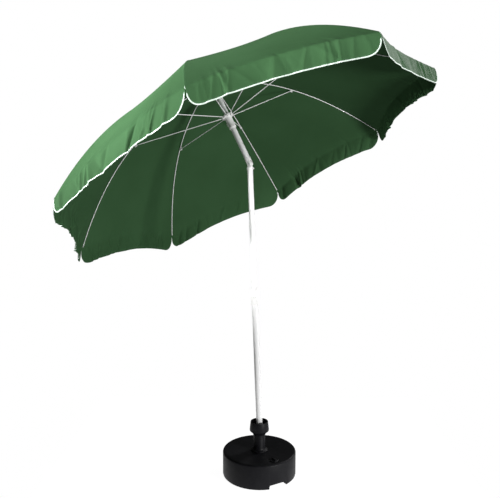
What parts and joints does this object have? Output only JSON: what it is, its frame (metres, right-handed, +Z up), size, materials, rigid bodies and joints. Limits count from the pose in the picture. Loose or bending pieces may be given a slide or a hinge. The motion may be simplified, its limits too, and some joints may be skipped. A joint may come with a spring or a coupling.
{
  "type": "patio umbrella with base",
  "caption": "Tilting round garden umbrella with a scalloped fabric canopy on wire ribs, telescoping pole with clamp, and a round water-filled pole base with clamp nut.",
  "frame": {"origin": "centre of the base drum's underside, on the ground", "axes": "+Z up; +X to the right and +Y to the back when the umbrella is seen from the side its canopy tilts away from, to the left and back"},
  "size_m": [1.7432, 1.9362, 2.1631],
  "materials": {
    "canopy_fabric": "matte woven polyester, green",
    "white_paint": "white gloss powder coat",
    "white_plastic": "satin moulded",
    "black_plastic": "fine-grained blow-moulded black",
    "zinc_steel": "zinc plated",
    "seal_rubber": "matte",
    "ballast_water": "water, inside the drum and not seen"
  },
  "bodies": {
    "base": {"base_drum": "black_plastic", "ballast_fill": "ballast_water", "socket_tube": "black_plastic"},
    "collar": {"collar_nut": "black_plastic"},
    "filler_seal": {"filler_seal": "seal_rubber"},
    "filler_cap": {"filler_cap": "black_plastic"},
    "adapter": {"pole_adapter": "black_plastic"},
    "pole_foot": {"lower_end_plug": "black_plastic"},
    "lower_pole": {"lower_tube": "white_paint", "height_clamp": "white_plastic"},
    "height_knob": {"height_knob": "white_plastic"},
    "middle_pole": {"mid_tube": "white_paint", "mid_tube_guide": "black_plastic", "tilt_lower_knuckle": "white_plastic", "tilt_pin": "zinc_steel", "tilt_spring": "zinc_steel"},
    "tilt_button": {"tilt_button": "white_plastic"},
    "canopy_pole": {"tilt_upper_knuckle": "white_plastic", "upper_tube": "white_paint", "top_hub": "white_plastic", "hub_wire": "zinc_steel", "finial": "white_plastic"},
    "runner": {"runner": "white_plastic", "runner_wire": "zinc_steel"},
    "runner_latch": {"runner_latch": "white_plastic"},
    "rib_1": {"rib_1": "white_paint", "rib_tip_1": "white_plastic", "canopy_1": "canopy_fabric"},
    "rib_2": {"rib_2": "white_paint", "rib_tip_2": "white_plastic", "canopy_2": "canopy_fabric"},
    "rib_3": {"rib_3": "white_paint", "rib_tip_3": "white_plastic", "canopy_3": "canopy_fabric"},
    "rib_4": {"rib_4": "white_paint", "rib_tip_4": "white_plastic", "canopy_4": "canopy_fabric"},
    "rib_5": {"rib_5": "white_paint", "rib_tip_5": "white_plastic", "canopy_5": "canopy_fabric"},
    "rib_6": {"rib_6": "white_paint", "rib_tip_6": "white_plastic", "canopy_6": "canopy_fabric"},
    "rib_7": {"rib_7": "white_paint", "rib_tip_7": "white_plastic", "canopy_7": "canopy_fabric"},
    "rib_8": {"rib_8": "white_paint", "rib_tip_8": "white_plastic", "canopy_8": "canopy_fabric"},
    "stretcher_1": {"stretcher_1": "white_paint"},
    "stretcher_2": {"stretcher_2": "white_paint"},
    "stretcher_3": {"stretcher_3": "white_paint"},
    "stretcher_4": {"stretcher_4": "white_paint"},
    "stretcher_5": {"stretcher_5": "white_paint"},
    "stretcher_6": {"stretcher_6": "white_paint"},
    "stretcher_7": {"stretcher_7": "white_paint"},
    "stretcher_8": {"stretcher_8": "white_paint"}
  },
  "joints": [
    {"name": "collar_turn", "type": "hinge", "parent": "base", "child": "collar", "pos_m": [0, 0, 0.23], "axis": [0, 0, 1], "continuous": true},
    {"name": "filler_cap_lift", "type": "slide", "parent": "base", "child": "filler_seal", "axis": [0, 0, 1], "range_m": [0, 0.035]},
    {"name": "filler_cap_turn", "type": "hinge", "parent": "filler_seal", "child": "filler_cap", "pos_m": [0.07419, -0.12107, 0.12], "axis": [0, 0, 1], "range_deg": [0, 545]},
    {"name": "adapter_lift", "type": "slide", "parent": "base", "child": "adapter", "axis": [-0.0366, 0, 0.9993], "range_m": [0, 0.12]},
    {"name": "pole_lift", "type": "slide", "parent": "base", "child": "pole_foot", "axis": [-0.0366, 0, 0.9993], "range_m": [0, 0.3]},
    {"name": "pole_swivel", "type": "hinge", "parent": "pole_foot", "child": "lower_pole", "pos_m": [0, 0, 0.281], "axis": [-0.0366, 0, 0.9993], "continuous": true},
    {"name": "height_knob_turn", "type": "hinge", "parent": "lower_pole", "child": "height_knob", "pos_m": [-0.02367, -0.03, 0.92657], "axis": [0, -1, 0], "continuous": true},
    {"name": "height_slide", "type": "slide", "parent": "lower_pole", "child": "middle_pole", "axis": [-0.0366, 0, 0.9993], "range_m": [-0.575, 0.06]},
    {"name": "tilt_button_press", "type": "slide", "parent": "middle_pole", "child": "tilt_button", "axis": [-0.8381, 0.5446, -0.0307], "range_m": [0, 0.005], "stiffness_N_per_m": 300, "springref_m": -0.003, "deforming": ["tilt_spring"]},
    {"name": "pole_tilt", "type": "hinge", "parent": "middle_pole", "child": "canopy_pole", "pos_m": [-0.04855, 0, 1.60511], "axis": [0.5443, 0.8387, 0.02], "range_deg": [0, 27.4]},
    {"name": "runner_slide", "type": "slide", "parent": "canopy_pole", "child": "runner", "axis": [0.4182, -0.2506, -0.8731], "range_m": [0, 0.165]},
    {"name": "runner_latch_pull", "type": "slide", "parent": "runner", "child": "runner_latch", "axis": [-0.7272, 0.4835, -0.4872], "range_m": [0, 0.003], "stiffness_N_per_m": 300, "springref_m": -0.003},
    {"name": "rib_1_fold", "type": "hinge", "parent": "canopy_pole", "child": "rib_1", "pos_m": [-0.26082, 0.11816, 2.0021], "axis": [-0.1828, -0.9647, 0.1894], "range_deg": [0, 10.8], "deforming": ["canopy_1"]},
    {"name": "rib_2_fold", "type": "hinge", "parent": "canopy_pole", "child": "rib_2", "pos_m": [-0.2582, 0.10404, 2.00741], "axis": [0.4999, -0.739, 0.4516], "range_deg": [0, 10.8], "deforming": ["canopy_2"]},
    {"name": "rib_3_fold", "type": "hinge", "parent": "canopy_pole", "child": "rib_3", "pos_m": [-0.24669, 0.09725, 2.01488], "axis": [0.8897, -0.0804, 0.4493], "range_deg": [0, 10.8], "deforming": ["canopy_3"]},
    {"name": "rib_4_fold", "type": "hinge", "parent": "canopy_pole", "child": "rib_4", "pos_m": [-0.23303, 0.10177, 2.02012], "axis": [0.7584, 0.6253, 0.1838], "range_deg": [0, 10.8], "deforming": ["canopy_4"]},
    {"name": "rib_5_fold", "type": "hinge", "parent": "canopy_pole", "child": "rib_5", "pos_m": [-0.22523, 0.11494, 2.02008], "axis": [0.1828, 0.9647, -0.1894], "range_deg": [0, 10.8], "deforming": ["canopy_5"]},
    {"name": "rib_6_fold", "type": "hinge", "parent": "canopy_pole", "child": "rib_6", "pos_m": [-0.22786, 0.12905, 2.01477], "axis": [-0.4999, 0.739, -0.4516], "range_deg": [0, 10.8], "deforming": ["canopy_6"]},
    {"name": "rib_7_fold", "type": "hinge", "parent": "canopy_pole", "child": "rib_7", "pos_m": [-0.23937, 0.13584, 2.0073], "axis": [-0.8897, 0.0804, -0.4493], "range_deg": [0, 10.8], "deforming": ["canopy_7"]},
    {"name": "rib_8_fold", "type": "hinge", "parent": "canopy_pole", "child": "rib_8", "pos_m": [-0.25303, 0.13133, 2.00206], "axis": [-0.7584, -0.6253, -0.1838], "range_deg": [0, 10.8], "deforming": ["canopy_8"]},
    {"name": "stretcher_1_fold", "type": "hinge", "parent": "runner", "child": "stretcher_1", "pos_m": [-0.18367, 0.07011, 1.8318], "axis": [0.1828, 0.9647, -0.1894], "range_deg": [0, 10.8]},
    {"name": "stretcher_2_fold", "type": "hinge", "parent": "runner", "child": "stretcher_2", "pos_m": [-0.18051, 0.05317, 1.83818], "axis": [-0.4999, 0.739, -0.4516], "range_deg": [0, 10.8]},
    {"name": "stretcher_3_fold", "type": "hinge", "parent": "runner", "child": "stretcher_3", "pos_m": [-0.1667, 0.04502, 1.84713], "axis": [-0.8897, 0.0804, -0.4493], "range_deg": [0, 10.8]},
    {"name": "stretcher_4_fold", "type": "hinge", "parent": "runner", "child": "stretcher_4", "pos_m": [-0.15031, 0.05044, 1.85343], "axis": [-0.7584, -0.6253, -0.1838], "range_deg": [0, 10.8]},
    {"name": "stretcher_5_fold", "type": "hinge", "parent": "runner", "child": "stretcher_5", "pos_m": [-0.14096, 0.06624, 1.85337], "axis": [-0.1828, -0.9647, 0.1894], "range_deg": [0, 10.8]},
    {"name": "stretcher_6_fold", "type": "hinge", "parent": "runner", "child": "stretcher_6", "pos_m": [-0.14411, 0.08318, 1.847], "axis": [0.4999, -0.739, 0.4516], "range_deg": [0, 10.8]},
    {"name": "stretcher_7_fold", "type": "hinge", "parent": "runner", "child": "stretcher_7", "pos_m": [-0.15792, 0.09133, 1.83804], "axis": [0.8897, -0.0804, 0.4493], "range_deg": [0, 10.8]},
    {"name": "stretcher_8_fold", "type": "hinge", "parent": "runner", "child": "stretcher_8", "pos_m": [-0.17431, 0.08591, 1.83175], "axis": [0.7584, 0.6253, 0.1838], "range_deg": [0, 10.8]}
  ],
  "couplings": [
    {"joint": "filler_cap_turn", "follows": "filler_cap_lift", "rad_per_m": 269},
    {"joint": "rib_1_fold", "follows": "runner_slide", "rad_per_m": 1.0572},
    {"joint": "rib_2_fold", "follows": "runner_slide", "rad_per_m": 1.0572},
    {"joint": "rib_3_fold", "follows": "runner_slide", "rad_per_m": 1.0572},
    {"joint": "rib_4_fold", "follows": "runner_slide", "rad_per_m": 1.0572},
    {"joint": "rib_5_fold", "follows": "runner_slide", "rad_per_m": 1.0572},
    {"joint": "rib_6_fold", "follows": "runner_slide", "rad_per_m": 1.0572},
    {"joint": "rib_7_fold", "follows": "runner_slide", "rad_per_m": 1.0572},
    {"joint": "rib_8_fold", "follows": "runner_slide", "rad_per_m": 1.0572},
    {"joint": "stretcher_1_fold", "follows": "runner_slide", "rad_per_m": 1.0998},
    {"joint": "stretcher_2_fold", "follows": "runner_slide", "rad_per_m": 1.0998},
    {"joint": "stretcher_3_fold", "follows": "runner_slide", "rad_per_m": 1.0998},
    {"joint": "stretcher_4_fold", "follows": "runner_slide", "rad_per_m": 1.0998},
    {"joint": "stretcher_5_fold", "follows": "runner_slide", "rad_per_m": 1.0998},
    {"joint": "stretcher_6_fold", "follows": "runner_slide", "rad_per_m": 1.0998},
    {"joint": "stretcher_7_fold", "follows": "runner_slide", "rad_per_m": 1.0998},
    {"joint": "stretcher_8_fold", "follows": "runner_slide", "rad_per_m": 1.0998}
  ]
}
